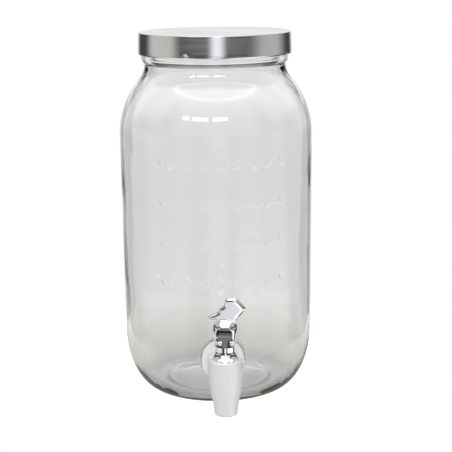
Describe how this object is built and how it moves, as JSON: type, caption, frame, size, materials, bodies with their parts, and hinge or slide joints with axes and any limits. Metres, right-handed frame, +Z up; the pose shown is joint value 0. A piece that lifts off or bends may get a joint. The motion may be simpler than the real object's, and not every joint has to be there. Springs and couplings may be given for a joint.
{
  "type": "beverage dispenser",
  "caption": "Clear glass jar drinks dispenser with a wide mouth, a screw-on metal lid and a chromed lever tap near its foot.",
  "frame": {"origin": "centre of the jar's base on the plane that it stands on", "axes": "+Z up along the jar's axis; the tap faces -Y; +X to the right seen from the front"},
  "size_m": [0.15, 0.2017, 0.2823],
  "materials": {
    "clear_glass": "clear pressed glass with a faint green cast",
    "lid_metal": "satin rolled sheet, bright curled edge",
    "gasket": "soft white plastisol",
    "satin_chrome": "satin silver plating on moulded plastic",
    "bright_chrome": "bright chrome plating on moulded plastic",
    "silicone": "translucent white silicone",
    "o_ring": "black rubber",
    "stainless": "plain stainless steel",
    "stem_plastic": "plain moulded plastic"
  },
  "bodies": {
    "jar": {"glass_jar": "clear_glass", "spigot_body": "satin_chrome", "outer_washer": "silicone", "inner_washer": "silicone", "backing_washer": "stainless", "lock_nut": "stainless", "bonnet": "bright_chrome", "bonnet_seal": "o_ring", "stem_o_ring": "o_ring"},
    "lid_seal": {"lid_gasket": "gasket"},
    "lid": {"lid_shell": "lid_metal"},
    "valve": {"seat_plug": "silicone", "return_spring": "stainless"},
    "stem_group": {"stem": "stem_plastic", "lever_pin": "stainless"},
    "lever": {"lever": "bright_chrome"}
  },
  "joints": [
    {"name": "lid_rise", "type": "slide", "parent": "jar", "child": "lid_seal", "axis": [0, 0, 1], "range_m": [0, 0.0156]},
    {"name": "lid_turn", "type": "hinge", "parent": "lid_seal", "child": "lid", "pos_m": [0, 0, 0.27], "axis": [0, 0, 1], "range_deg": [0, 350]},
    {"name": "valve_lift", "type": "slide", "parent": "jar", "child": "valve", "axis": [0, 0, 1], "range_m": [0, 0.00251], "stiffness_N_per_m": 200, "springref_m": -0.004, "deforming": ["return_spring"]},
    {"name": "lever_swivel", "type": "hinge", "parent": "valve", "child": "stem_group", "pos_m": [0, -0.114, 0.0706], "axis": [0, 0, 1], "continuous": true},
    {"name": "lever_tilt", "type": "hinge", "parent": "stem_group", "child": "lever", "pos_m": [0, -0.114, 0.0706], "axis": [0.9877, -0.1564, 0], "range_deg": [0, 60]}
  ],
  "couplings": [
    {"joint": "lid_rise", "follows": "lid_turn", "m_per_rad": 0.0025465},
    {"joint": "lever_tilt", "follows": "valve_lift", "rad_per_m": 416.67}
  ]
}
